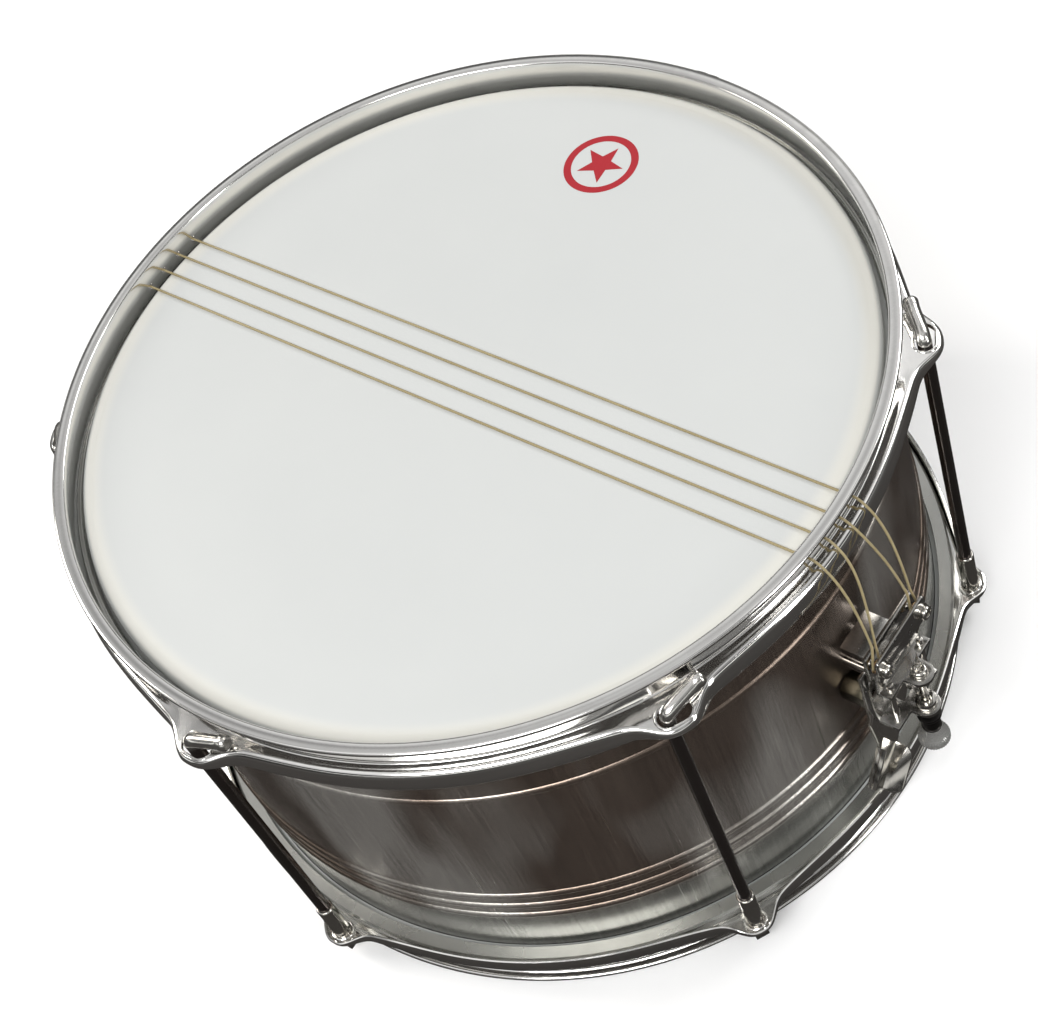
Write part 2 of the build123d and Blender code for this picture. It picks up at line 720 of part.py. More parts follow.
# ---------------------------------------------------------------- all the pieces
def main():
    os.makedirs("parts", exist_ok=True)
    head = make_head()
    flesh_hoop = make_flesh_hoop()
    butt_level = CLAMP_LEVEL + BUTT_RISE
    pieces = {
        "shell": drill_shell(make_shell()),
        "top_hoop": make_top_hoop(),
        "bottom_hoop": upside_down(make_hoop(0)),
        "top_head": head,
        "bottom_head": upside_down(head),
        "top_flesh_hoop": flesh_hoop,
        "bottom_flesh_hoop": upside_down(flesh_hoop),
        "tension_rods": make_tension_rods(),
        "nut_washers": make_nut_washers(),
        "strainer_base": make_strainer_base(),
        "strainer_standoffs": make_standoffs(),
        "strainer_base_screws": make_base_screws(),
        "strainer_shell_screws": make_shell_screws(),
        "slide_guide_studs": make_guide_studs(),
        "guide_stud_nuts": make_stud_nuts(),
        "lever_pivot_bolt": make_pivot_bolt(),
        "throw_lever": make_throw_lever(),
        "tension_slide": make_tension_slide(),
        "clamp_guide_pins": make_guide_pins(),
        "adjuster_nut": make_adjuster_nut(),
        "clamp_bracket": make_clamp_bracket(),
        "clamp_bar": make_clamp_bar(CLAMP_LEVEL, BAR_FRONT, STRAINER_END),
        "clamp_screws": make_clamp_screws(CLAMP_LEVEL, BAR_FRONT, STRAINER_END),
        "clamp_washers": make_clamp_washers(CLAMP_LEVEL, BAR_FRONT, STRAINER_END),
        "snare_loops": make_snare_loops(CLAMP_LEVEL, STRAINER_END),
        "adjuster_screw": make_adjuster_screw(),
        "adjuster_collar": make_adjuster_collar(),
        "adjuster_knob": make_adjuster_knob(),
        "butt_bracket": make_butt_bracket(),
        "butt_standoffs": BUTT_END * make_standoffs(),
        "butt_bracket_screws": BUTT_END * make_base_screws(),
        "butt_shell_screws": BUTT_END * make_shell_screws(),
        "butt_clamp_bar": make_clamp_bar(butt_level, BUTT_BAR_FRONT, BUTT_END),
        "butt_clamp_screws": make_clamp_screws(butt_level, BUTT_BAR_FRONT, BUTT_END),
        "butt_clamp_washers": make_clamp_washers(butt_level, BUTT_BAR_FRONT, BUTT_END),
        "butt_snare_loops": make_snare_loops(butt_level, BUTT_END),
    }
    for number, nut in enumerate(around(make_tension_nut()), start=1):
        pieces[f"tension_nut_{number}"] = nut
    for number, y in enumerate(SNARE_SPREAD, start=1):
        pieces[f"snare_{number}"] = make_snare(y)
    for node, shape in pieces.items():
        save(shape, node)


main()
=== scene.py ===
import json
from math import atan2, cos, exp, hypot, pi, radians, sin

import bpy
from mathutils import Matrix, Vector

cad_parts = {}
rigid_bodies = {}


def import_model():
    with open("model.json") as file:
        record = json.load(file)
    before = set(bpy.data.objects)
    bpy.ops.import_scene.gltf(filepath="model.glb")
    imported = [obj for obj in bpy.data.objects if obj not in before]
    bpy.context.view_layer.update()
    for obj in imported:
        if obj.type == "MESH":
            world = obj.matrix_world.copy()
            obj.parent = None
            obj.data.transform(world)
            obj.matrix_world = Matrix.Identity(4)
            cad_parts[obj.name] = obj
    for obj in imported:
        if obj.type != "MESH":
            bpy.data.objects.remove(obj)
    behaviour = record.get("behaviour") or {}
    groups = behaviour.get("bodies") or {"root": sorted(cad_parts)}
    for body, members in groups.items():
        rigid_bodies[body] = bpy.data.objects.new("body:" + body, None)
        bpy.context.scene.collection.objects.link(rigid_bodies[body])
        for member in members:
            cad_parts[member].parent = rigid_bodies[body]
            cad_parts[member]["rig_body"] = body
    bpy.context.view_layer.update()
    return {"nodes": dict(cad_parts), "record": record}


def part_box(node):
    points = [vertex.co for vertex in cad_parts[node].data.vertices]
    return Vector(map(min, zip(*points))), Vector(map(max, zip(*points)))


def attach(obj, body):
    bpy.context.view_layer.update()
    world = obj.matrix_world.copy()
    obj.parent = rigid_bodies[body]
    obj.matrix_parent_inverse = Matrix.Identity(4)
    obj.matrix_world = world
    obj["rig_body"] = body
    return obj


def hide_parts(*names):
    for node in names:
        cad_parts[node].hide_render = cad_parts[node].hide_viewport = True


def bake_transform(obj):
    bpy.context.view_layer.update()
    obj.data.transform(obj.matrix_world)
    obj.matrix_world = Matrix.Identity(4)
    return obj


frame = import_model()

record = frame["record"]
scene = bpy.context.scene
MM = 0.001

# ------------------------------------------------------------------ places, from the frame
_, hoop_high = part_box("top_hoop")
_, head_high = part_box("top_head")
nut_low, nut_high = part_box("tension_nut_2")
HEIGHT = hoop_high.z                       # rim to rim
EAR_TIP = hoop_high.y                      # a lug sits on +Y
HEAD_TOP = head_high.z
ROD_CIRCLE = (nut_low.y + nut_high.y) / 2

LUGS = 6
LUG_STEP = 60                              # degrees between lugs
FIRST_LUG = 30

# in millimetres
SHEET = 1.5                                # thickness of a hoop
HOOP_BORE = 180.0                          # inner radius of a hoop's wall
SKIRT = 187.6                              # outer radius of the skirt between lugs
EAR_DEPTH = 16.4                           # an ear's face, below the rim
EAR_HOLE = 8.5
HOOK_SLOT = 14.5                           # length of the hole that the hook comes through
GUT = 1.1                                  # diameter of a string
GUT_ROWS = (-15.9, -5.3, 5.3, 15.9)
GUT_LEVEL = 203.05                         # where the strings pass through the hoop
TAIL = 1.13                                # a clamped end, pressed a little wider
ROD = 5.96                                 # diameter of a rod, a touch under 6
PLATE_EASE = 0.22                          # eased edge of a plate
NUT_EASE = 0.3
SMALL_EASE = 0.15


# ------------------------------------------------------------------ camera, light, floor
def look_along(position, right, down, forward):
    """Camera at a place, turned so that its three axes point as given."""
    turn = Matrix((right, [-d for d in down], [-f for f in forward])).transposed()
    data = bpy.data.cameras.new("camera")
    camera = bpy.data.objects.new("camera", data)
    scene.collection.objects.link(camera)
    camera.matrix_world = Matrix.Translation(position) @ turn.to_4x4()
    scene.camera = camera
    return camera


camera = look_along(
    position=Vector((504.3, -344.9, 860.1)) * MM,
    right=Vector((0.7817, 0.5621, -0.2701)),
    down=Vector((0.3426, -0.7490, -0.5672)),
    forward=Vector((-0.5211, 0.3509, -0.7780)),
)
camera.data.lens = 72.98
camera.data.sensor_width = 36
camera.data.clip_start = 0.01
camera.data.clip_end = 50
scene.view_settings.view_transform = "Standard"


def softbox(name, where, target, size, power, tint=(1, 1, 1)):
    """Rectangular lamp aimed at a point."""
    data = bpy.data.lights.new(name, "AREA")
    data.shape = "RECTANGLE"
    data.size, data.size_y = size
    data.energy = power
    data.color = tint
    lamp = bpy.data.objects.new(name, data)
    scene.collection.objects.link(lamp)
    lamp.location = where
    lamp.rotation_euler = (Vector(target) - Vector(where)).to_track_quat("-Z", "Y").to_euler()


softbox("key_softbox", (0.5, -1.2, 1.6), (0, 0, 0.15), (1.0, 0.7), 24)
softbox("left_softbox", (-1.5, -0.5, 1.1), (0, 0, 0.12), (0.5, 1.1), 15, (1, 0.97, 0.92))
softbox("rear_softbox", (0.5, 1.5, 1.2), (0, 0, 0.12), (1.2, 0.5), 16)
softbox("strip_softbox", (1.6, 0.2, 0.7), (0, 0, 0.12), (0.25, 1.4), 8)


# ------------------------------------------------------------------ node maths
class Wire:
    """A shader socket with arithmetic: every operation adds a Math node."""

    def __init__(self, shop, socket):
        self.shop = shop
        self.socket = socket

    def calc(self, operation, *others):
        return self.shop.node("ShaderNodeMath", {"operation": operation}, [self, *others])

    def calc_from(self, operation, first):
        return self.shop.node("ShaderNodeMath", {"operation": operation}, [first, self])

    def __add__(self, other):
        return self.calc("ADD", other)

    def __sub__(self, other):
        return self.calc("SUBTRACT", other)

    def __mul__(self, other):
        return self.calc("MULTIPLY", other)

    def __rsub__(self, other):
        return self.calc_from("SUBTRACT", other)

    __radd__ = __add__
    __rmul__ = __mul__


class Shop:
    """One material and the nodes it is made of."""

    def __init__(self, name):
        self.material = bpy.data.materials.new(name)
        self.material.use_nodes = True
        self.tree = self.material.node_tree
        self.shader = self.tree.nodes["Principled BSDF"]

    def plug(self, socket, value):
        if isinstance(value, Wire):
            self.tree.links.new(value.socket, socket)
        elif socket.type == "RGBA" and len(value) == 3:
            socket.default_value = (*value, 1)
        else:
            socket.default_value = value

    def node(self, kind, settings=None, sockets=(), out=0):
        """Any node: its type, its settings, then values or wires for its sockets."""
        made = self.tree.nodes.new(kind)
        for key, value in (settings or {}).items():
            if key == "stops":
                fill_ramp(made.color_ramp, value)
            else:
                setattr(made, key, value)
        pairs = sockets.items() if isinstance(sockets, dict) else enumerate(sockets)
        for key, value in pairs:
            self.plug(made.inputs[key], value)
        return Wire(self, made.outputs[out])

    def place(self):
        return self.node("ShaderNodeTexCoord", out="Object")

    def stretched(self, scale, turn=(0, 0, 0)):
        return self.node(
            "ShaderNodeMapping", {}, {"Vector": self.place(), "Rotation": turn, "Scale": scale}
        )

    def noise(self, vector, scale, detail=3.0, rough=0.5, distort=0.0):
        return self.node(
            "ShaderNodeTexNoise",
            {},
            {"Vector": vector, "Scale": scale, "Detail": detail, "Roughness": rough, "Distortion": distort},
        )

    def ramp(self, value, *stops):
        return self.node("ShaderNodeValToRGB", {"stops": stops}, [value])

    def span(self, value, low, high):
        return self.node(
            "ShaderNodeMapRange",
            {"interpolation_type": "SMOOTHSTEP"},
            {"Value": value, "From Min": low, "From Max": high},
        )

    def blend(self, factor, first, second, how="MIX"):
        made = self.tree.nodes.new("ShaderNodeMix")
        made.data_type = "RGBA"
        made.blend_type = how
        for index, value in ((0, factor), (6, first), (7, second)):
            self.plug(made.inputs[index], value)
        return Wire(self, made.outputs[2])

    def axes(self):
        split = self.tree.nodes.new("ShaderNodeSeparateXYZ")
        self.plug(split.inputs[0], self.place())
        return [Wire(self, s) for s in split.outputs]

    def radius(self):
        """Distance from the drum's axis."""
        x, y, _ = self.axes()
        return (x * x + y * y).calc("SQRT")

    def bump(self, height, strength, distance):
        return self.node(
            "ShaderNodeBump", {}, {"Height": height, "Strength": strength, "Distance": distance}
        )

    def surface(self, **values):
        for key, value in values.items():
            self.plug(self.shader.inputs[key.replace("_", " ")], value)
        return self.material


def fill_ramp(ramp, stops):
    while len(ramp.elements) < len(stops):
        ramp.elements.new(0.5)
    for element, (position, colour) in zip(ramp.elements, stops):
        element.position = position
        element.color = (*colour, 1)


# ------------------------------------------------------------------ finishes
BLACK, WHITE = (0, 0, 0), (1, 1, 1)

# where a finish, a painted light or a painted shade changes, in metres: heights on the drum, then distances
# from its axis
PALE_BAND = (0.044, 0.053)
# painted highlight on the rods' hooks above the ears
HOOK_HIGHLIGHT = (0.1945, 0.1985)
# painted warm light on the head just inside its collar
COLLAR_GLOW = (0.1655, 0.1725)
# painted shade where the head rolls over the bearing edge under the hoop
BEARING_EDGE = (0.1745, 0.1760)


def polished_chrome():
    """Chrome plate with faint polishing haze, smears and pin-prick specks."""
    shop = Shop("polished_chrome")
    tone = (0.82, 0.81, 0.79)
    haze = shop.noise(shop.place(), 22, 4, 0.6)
    fine = shop.noise(shop.place(), 900, 2)
    smear = shop.noise(shop.stretched((14, 14, 60)), 3, 5, 0.65, 0.6)
    worn = shop.ramp(smear, (0.45, BLACK), (0.75, WHITE))
    base = shop.blend(worn * 0.35, tone, [0.72 * t for t in tone])
    rough = 0.055 + haze * 0.05 + worn * 0.09
    return shop.surface(
        Base_Color=base,
        Metallic=1.0,
        Roughness=rough,
        Normal=shop.bump(fine * 0.4 + haze, 0.06, 0.0004),
    )


def brushed_shell():
    """Satin lacquered shell: brush lines along the drum, cloudy tone, painted pale highlight patches, paler
    low band.
    """
    shop = Shop("brushed_shell")
    lines = shop.noise(shop.stretched((330, 330, 5)), 3.2, 4, 0.7)
    broad = shop.noise(shop.stretched((26, 26, 2.2)), 1.6, 3, 0.6, 0.3)
    spots = shop.noise(shop.place(), 260, 2)
    _, _, z = shop.axes()
    low = 1 - shop.span(z, *PALE_BAND)
    # painted highlight: noise patches blended towards pale grey in the colour, standing in for lamps
    # shining on the shell
    painted_highlight = shop.noise(shop.stretched((9, 9, 3.0)), 1.7, 2, 0.5)
    painted_highlight = shop.ramp(painted_highlight, (0.52, BLACK), (0.66, WHITE))
    brown = shop.blend(broad, (0.150, 0.112, 0.088), (0.255, 0.205, 0.170))
    brown = shop.blend(painted_highlight * 0.7, brown, (0.85, 0.83, 0.78))
    grey = shop.blend(broad, (0.22, 0.225, 0.21), (0.42, 0.425, 0.40))
    tone = shop.blend(low * 0.8, brown, grey)
    streak = shop.ramp(lines, (0.30, (0.62, 0.62, 0.62)), (0.72, (1.18, 1.18, 1.18)))
    return shop.surface(
        Base_Color=shop.blend(0.85, tone, streak, "MULTIPLY"),
        Metallic=0.86,
        Roughness=0.13 + lines * 0.14 + broad * 0.08,
        Normal=shop.bump(lines + spots * 0.15, 0.16, 0.0005),
    )


def drawn_aluminium():
    """Flesh hoop: turned lines round the ring and small dull patches."""
    shop = Shop("drawn_aluminium")
    lines = shop.noise(shop.stretched((5, 5, 900)), 2.0, 3, 0.6)
    patch = shop.noise(shop.place(), 35, 4, 0.6)
    base = shop.blend(patch, (0.36, 0.36, 0.34), (0.56, 0.56, 0.53))
    return shop.surface(
        Base_Color=base,
        Metallic=0.92,
        Roughness=0.20 + lines * 0.14,
        Normal=shop.bump(lines, 0.15, 0.0003),
    )


def drum_film():
    """White film: faint milky cloud, fine tooth, painted warm light just inside its collar, painted shade
    where it rolls over the bearing edge.
    """
    shop = Shop("drum_film")
    reach = shop.radius()
    cloud = shop.noise(shop.place(), 9, 5, 0.62)
    tooth = shop.noise(shop.place(), 1400, 2)
    scuff = shop.noise(shop.stretched((18, 60, 18), (0, 0, 0.5)), 4, 6, 0.7, 0.8)
    marks = shop.ramp(scuff, (0.60, BLACK), (0.74, WHITE))
    white = shop.blend(cloud, (0.485, 0.497, 0.492), (0.525, 0.535, 0.525))
    # painted warm light: a cream tint laid on the film just inside its collar, near the hoop
    painted_warm_light = shop.span(reach, *COLLAR_GLOW)
    tone = shop.blend(painted_warm_light * 0.55, white, (0.66, 0.64, 0.57))
    # painted shade: darker grey where the film rolls over the bearing edge, in the recess under the hoop's
    # wall
    rim = shop.span(reach, *BEARING_EDGE)
    tone = shop.blend(rim, tone, (0.40, 0.41, 0.40))
    return shop.surface(
        Base_Color=shop.blend(marks * 0.06, tone, (0.55, 0.55, 0.54)),
        Roughness=0.52 + cloud * 0.12 - marks * 0.08,
        Normal=shop.bump(tooth + cloud * 0.3, 0.10, 0.0002),
    )


def dark_plate():
    """Dark nickel rod: fine lengthwise lines, and a painted highlight on the hook above the ear, where it
    comes out of the hoop's shade.
    """
    shop = Shop("dark_plate")
    _, _, z = shop.axes()
    lines = shop.noise(shop.stretched((900, 900, 12)), 1.5, 3)
    patch = shop.noise(shop.place(), 60, 4, 0.6)
    # painted highlight: the hook above the ear pale as if lit, the shank below it dark as if in the hoop's
    # shade
    bright = shop.span(z, *HOOK_HIGHLIGHT)
    base = shop.blend(bright, (0.13, 0.112, 0.105), (0.74, 0.73, 0.70))
    base = shop.blend(patch * 0.35, base, (0.30, 0.27, 0.25))
    return shop.surface(
        Base_Color=base,
        Metallic=1.0,
        Roughness=0.12 + patch * 0.12 + lines * 0.05,
        Normal=shop.bump(lines, 0.08, 0.0003),
    )


def plated(name, dark, light, rough, grain=(260, 260, 260), bite=0.1, metal=1.0):
    """Plated or bare small metal parts: cloudy tone, grain and dull wear."""
    shop = Shop(name)
    cloud = shop.noise(shop.place(), 75, 5, 0.65)
    lines = shop.noise(shop.stretched(grain), 2.4, 3, 0.6)
    worn = shop.ramp(shop.noise(shop.place(), 180, 4, 0.7), (0.50, BLACK), (0.70, WHITE))
    base = shop.blend(cloud, dark, light)
    base = shop.blend(worn * 0.15, base, [0.6 * c for c in dark])
    return shop.surface(
        Base_Color=base,
        Metallic=metal,
        Roughness=rough + lines * 0.09 + worn * 0.06,
        Normal=shop.bump(lines, bite, 0.0003),
    )


def twisted_gut():
    """Gut: straw colour, twist lines that run round the string and darker knots."""
    shop = Shop("twisted_gut")
    twist = shop.node(
        "ShaderNodeTexWave",
        {"wave_type": "BANDS", "bands_direction": "X"},
        {"Vector": shop.stretched((1, 2.2, 2.2)), "Scale": 210.0, "Distortion": 1.2},
        out="Fac",
    )
    tone = shop.noise(shop.place(), 45, 4, 0.6)
    base = shop.blend(tone, (0.22, 0.175, 0.080), (0.38, 0.325, 0.18))
    base = shop.blend(twist * 0.35, base, (0.24, 0.165, 0.07))
    return shop.surface(
        Base_Color=base,
        Roughness=0.42 + twist * 0.2,
        Coat_Weight=0.15 + tone * 0.1,
        Normal=shop.bump(twist, 0.3, 0.0001),
    )


def red_print():
    """Printed mark: slightly uneven ink."""
    shop = Shop("red_print")
    ink = shop.noise(shop.place(), 700, 3)
    patch = shop.noise(shop.place(), 60, 3)
    base = shop.blend(patch, (0.30, 0.008, 0.016), (0.37, 0.014, 0.022))
    return shop.surface(
        Base_Color=base, Roughness=0.42 + ink * 0.12, Normal=shop.bump(ink, 0.05, 0.0001)
    )


def studio_floor():
    """Pale floor that mirror-like pieces meet as a dark one, as in a lined studio tent."""
    shop = Shop("studio_floor")
    mottle = shop.noise(shop.place(), 3, 3)
    pale = shop.blend(mottle, (0.93, 0.93, 0.93), (0.95, 0.95, 0.95))
    glossy = shop.node("ShaderNodeLightPath", out="Is Glossy Ray")
    return shop.surface(Base_Color=shop.blend(glossy, pale, (0.028, 0.025, 0.023)), Roughness=0.9)


finish_of = {
    "brushed_shell": brushed_shell(),
    "chrome": polished_chrome(),
    "head_film": drum_film(),
    "flesh_ring": drawn_aluminium(),
    "dark_rod": dark_plate(),
    "nickel": plated("satin_nickel", (0.55, 0.53, 0.49), (0.72, 0.70, 0.66), 0.06, (200, 200, 200), 0.04),
    "bronze": plated("dark_bronze", (0.032, 0.030, 0.022), (0.095, 0.084, 0.060), 0.16),
    "steel_plate": plated("zinc_plate", (0.33, 0.32, 0.30), (0.46, 0.45, 0.43), 0.17, (40, 400, 400), 0.05),
    "gut": twisted_gut(),
    "copper": plated("copper_binding", (0.55, 0.30, 0.13), (0.82, 0.55, 0.28), 0.22),
    "black_steel": plated("black_oxide", (0.02, 0.02, 0.02), (0.07, 0.065, 0.06), 0.30),
}
milled_foot = plated("milled_foot", (0.46, 0.46, 0.44), (0.66, 0.66, 0.64), 0.13, metal=0.78)
slot_of = {row["node"]: row["material_slot"] for row in record["subparts"]}

for node, piece in frame["nodes"].items():
    piece.data.materials.clear()
    piece.data.materials.append(finish_of[slot_of[node]])


def studio_world():
    """Dim surround with bright and dark belts and cloudy patches, for the chrome to reflect."""
    world = bpy.data.worlds.new("studio")
    world.use_nodes = True
    scene.world = world
    tree = world.node_tree
    place = tree.nodes.new("ShaderNodeTexCoord")
    split = tree.nodes.new("ShaderNodeSeparateXYZ")
    belt = tree.nodes.new("ShaderNodeValToRGB")
    half = tree.nodes.new("ShaderNodeMath")
    half.operation = "MULTIPLY_ADD"
    half.inputs[1].default_value = 0.5
    half.inputs[2].default_value = 0.5
    greys = [(0.0, 0.05), (0.50, 0.04), (0.575, 0.03), (0.625, 0.03), (0.71, 0.05), (0.79, 0.08)]
    greys += [(0.83, 0.75), (0.93, 0.62), (1.0, 0.60)]
    warm = [(0.545, (0.30, 0.30, 0.29)), (0.645, (1.2, 1.2, 1.17)), (0.685, (1.2, 1.2, 1.17))]
    fill_ramp(belt.color_ramp, sorted([(at, (grey,) * 3) for at, grey in greys] + warm))
    tree.links.new(place.outputs["Generated"], split.inputs[0])
    tree.links.new(split.outputs["Z"], half.inputs[0])
    tree.links.new(half.outputs[0], belt.inputs[0])
    patches = tree.nodes.new("ShaderNodeTexNoise")
    patches.inputs["Scale"].default_value = 2.2
    patches.inputs["Detail"].default_value = 1.0
    tree.links.new(place.outputs["Generated"], patches.inputs["Vector"])
    spread = tree.nodes.new("ShaderNodeMapRange")
    for key, value in (("From Min", 0.38), ("From Max", 0.62), ("To Min", 0.35), ("To Max", 1.45)):
        spread.inputs[key].default_value = value
    tree.links.new(patches.outputs[0], spread.inputs[0])
    background = tree.nodes["Background"]
    tree.links.new(belt.outputs[0], background.inputs["Color"])
    tree.links.new(spread.outputs[0], background.inputs["Strength"])


studio_world()
bpy.ops.object.select_all(action="DESELECT")
bpy.ops.mesh.primitive_plane_add(size=12)
floor = bpy.context.active_object
floor.name = "floor"
floor.data.materials.append(studio_floor())


# ------------------------------------------------------------------ modelling
def only(*pieces):
    """Selects just these pieces and makes the first one active."""
    bpy.ops.object.select_all(action="DESELECT")
    for piece in pieces:
        piece.select_set(True)
    bpy.context.view_layer.objects.active = pieces[0]


def join(*pieces):
    """Makes one piece of several and keeps the first one's name."""
    only(*pieces)
    bpy.ops.object.join()
    return pieces[0]


def settle(piece, body, node_names=(), slot=None, angle=35):
    """Puts the piece at the origin, smooths it, gives it its finish and rides it on its body."""
    piece.data.transform(piece.matrix_world)
    piece.matrix_world = Matrix.Identity(4)
    only(piece)
    bpy.ops.object.shade_smooth_by_angle(angle=radians(angle))
    if slot:
        piece.data.materials.clear()
        piece.data.materials.append(finish_of[slot])
    if body:
        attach(piece, body)
    if node_names:
        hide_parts(*node_names)


def use(piece, kind, **settings):
    """Adds a modifier and applies it."""
    only(piece)
    modifier = piece.modifiers.new(kind.lower(), kind)
    for key, value in settings.items():
        setattr(modifier, key, value)
    bpy.ops.object.modifier_apply(modifier=modifier.name)


def linked(name, data):
    """New object in the scene."""
    piece = bpy.data.objects.new(name, data)
    scene.collection.objects.link(piece)
    return piece


def new_piece(name, points, faces, edges=()):
    """Piece from its points and faces or edges."""
    mesh = bpy.data.meshes.new(name)
    mesh.from_pydata(points, edges, faces)
    return linked(name, mesh)


def own_copy(piece, name):
    """Copy of a piece with its own mesh."""
    return linked(name, piece.data.copy())


def solid_curve(name, curve):
    """Piece from a curve that has a thickness."""
    holder = linked(name, curve)
    bpy.context.view_layer.update()
    seen = holder.evaluated_get(bpy.context.evaluated_depsgraph_get())
    mesh = bpy.data.meshes.new_from_object(seen)
    bpy.data.objects.remove(holder)
    return linked(name, mesh)


def bar_curve(name, points, bevel, steps, sides):
    """Curve of (x, y, z, thickness) points in millimetres; bevel is its radius in millimetres."""
    curve = bpy.data.curves.new(name, "CURVE")
    curve.dimensions = "3D"
    spline = curve.splines.new("NURBS")
    spline.points.add(len(points) - 1)
    for place, (x, y, z, thick) in zip(spline.points, points):
        place.co = (x * MM, y * MM, z * MM, 1)
        place.radius = thick
    spline.order_u = 3
    spline.use_endpoint_u = True
    spline.resolution_u = steps
    curve.bevel_depth = bevel * MM
    curve.bevel_resolution = sides
    curve.use_fill_caps = True
    return curve


def eased_copy(node, width):
    """Copy of a machined piece with its sharp edges eased; the width is in millimetres."""
    source = frame["nodes"][node]
    piece = own_copy(source, node + "_eased")
    only(piece)
    bpy.ops.object.mode_set(mode="EDIT")
    bpy.ops.mesh.select_all(action="SELECT")
    bpy.ops.mesh.remove_doubles(threshold=0.00001)
    bpy.ops.mesh.dissolve_limited(angle_limit=radians(1.0))
    bpy.ops.object.mode_set(mode="OBJECT")
    if piece.data.has_custom_normals:
        bpy.ops.mesh.customdata_custom_splitnormals_clear()
    use(
        piece,
        "BEVEL",
        width=width * MM,
        segments=2,
        limit_method="ANGLE",
        angle_limit=radians(30),
        use_clamp_overlap=True,
        miter_outer="MITER_ARC",
    )
    settle(piece, source["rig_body"], [node], slot_of[node], 32)


# ------------------------------------------------------------------ snares
def gut_end(y):
    """Places across the drum of a string's end, its last free point and the point at the skirt."""
    side = 1 if y > 0 else -1
    outer = abs(y) > 10
    return [side * v for v in ((15.0, 15.4, 15.9) if outer else (12.8, 10.0, 6.0))]


def snare_points(y):
    """A string's route: its own points, and one more on the head beside each hoop."""
    end, low, high = gut_end(y)
    half = [
        (178.0, y, GUT_LEVEL, 1),
        (184.5, y, GUT_LEVEL, 1),
        (192.5, high, 192.0, 1),
        (197.6, low, 170.0, 1),
        (199.3, end, 149.8, 1),
    ]
    return [(-x, v, z, 1) for x, v, z, _ in reversed(half)] + half


def make_snare(number, y):
    """One gut string as a tube along its route."""
    name = f"gut_{number}"
    curve = bar_curve(name, snare_points(y), 0, 16, 3)
    line = linked(name, curve)
    path = [tuple(v.co) for v in bpy.data.meshes.new_from_object(line).vertices]
    bpy.data.objects.remove(line)
    curve.bevel_depth = GUT * MM / 2
    piece = solid_curve(name, curve)
    settle(piece, None, [f"snare_{number}"], "gut", 60)
    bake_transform(piece)


def make_tails():
    """Last stretch of the strings between the clamp plates, from above them down to the loops."""
    tails = []
    for y in GUT_ROWS:
        end, low, _ = gut_end(y)
        hook = (17.8 if abs(y) > 10 else 12.6) * (1 if y > 0 else -1)
        points = [
            (199.16, end + 0.08 * (low - end), 151.4, 1),
            (199.3, end, 149.8, 1),
            (199.2, (end + hook) / 2, 143.0, 1),
            (199.2, hook, 136.0, 1),
        ]
        tails.append(solid_curve("clamped_tails", bar_curve("tail", points, TAIL / 2, 16, 3)))
    joined = join(*tails)
    settle(joined, frame["nodes"]["snare_loops"]["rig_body"], (), "gut", 60)


for number, y in enumerate(GUT_ROWS, start=1):
    make_snare(number, y)
make_tails()


# ------------------------------------------------------------------ hoops
def flare(along, middle, half):
    """How far the skirt reaches out towards an ear, 0 to 1, by millimetres from the lug."""
    broad = 0.30 * exp(-((along / 27) ** 2))
    lobe = 0.70 * exp(-(abs((along - middle) / half) ** 2.8))
    return min(broad + lobe, 1.0)


def rise(along):
    """How far the skirt's free edge rises to an ear, 0 to 1."""
    return exp(-((along / 17) ** 2))


def off_lug(angle):
    """Degrees from the nearest lug."""
    return (angle - FIRST_LUG + LUG_STEP / 2) % LUG_STEP - LUG_STEP / 2


def hoop_angles():
    """Azimuths in degrees, close together at the lugs."""
    fine, coarse, near = 0.3, 1.5, 12.0
    first = FIRST_LUG - LUG_STEP / 2
    angles = []
    at = first
    while at < first + 360 - 1e-6:
        angles.append(at)
        at += fine if abs(off_lug(at) + fine / 2) < near else coarse
    return angles


def arc(centre, radius, start_deg, end_deg, steps):
    """Points of an arc, both ends included."""
    turns = [radians(start_deg + (end_deg - start_deg) * i / steps) for i in range(steps + 1)]
    return [(centre[0] + radius * cos(a), centre[1] + radius * sin(a)) for a in turns]


def hoop_section(along, middle, half):
    """Closed outline of the pressed hoop in millimetres: (radius, depth below the rim)."""
    out = SKIRT + (EAR_TIP / MM - 0.15 - SKIRT) * flare(along, middle, half)
    lift = rise(along)
    shelf = 14.0 + 2.3 * lift
    edge = 24.0 - 4.9 * lift
    bend = 3.0 - 0.7 * lift
    foot = 14.0 + 0.4 * lift
    points = []
    points += arc((181.0, 1.1), 1.0, 180, 270, 3)
    points += arc((184.7, 1.15), 1.15, 270, 450, 7)
    points += arc((183.0, 3.8), 1.5, 270, 180, 4)
    points += [(181.5, 8.0)]
    points += arc((182.5, foot - 1.0), 1.0, 180, 90, 3)
    points += [(0.5 * (183.5 + out - bend), 0.5 * (foot + shelf) + 0.1)]
    points += arc((out - bend, shelf + bend), bend, 270, 360, 6)
    points += [(out, (shelf + bend + edge) / 2)]
    points += arc((out - SHEET / 2, edge - 0.1), SHEET / 2 + 0.12, 0, 180, 4)
    points += [(out - SHEET, (shelf + bend + edge) / 2)]
    points += arc((out - bend, shelf + bend), bend - SHEET, 360, 270, 5)
    points += [(0.5 * (183.5 + out - bend), 0.5 * (foot + shelf) + 0.1 + SHEET)]
    points += [(181.2, foot + SHEET), (HOOP_BORE, foot + 0.6), (HOOP_BORE, 8.0), (HOOP_BORE, 3.0)]
    return points


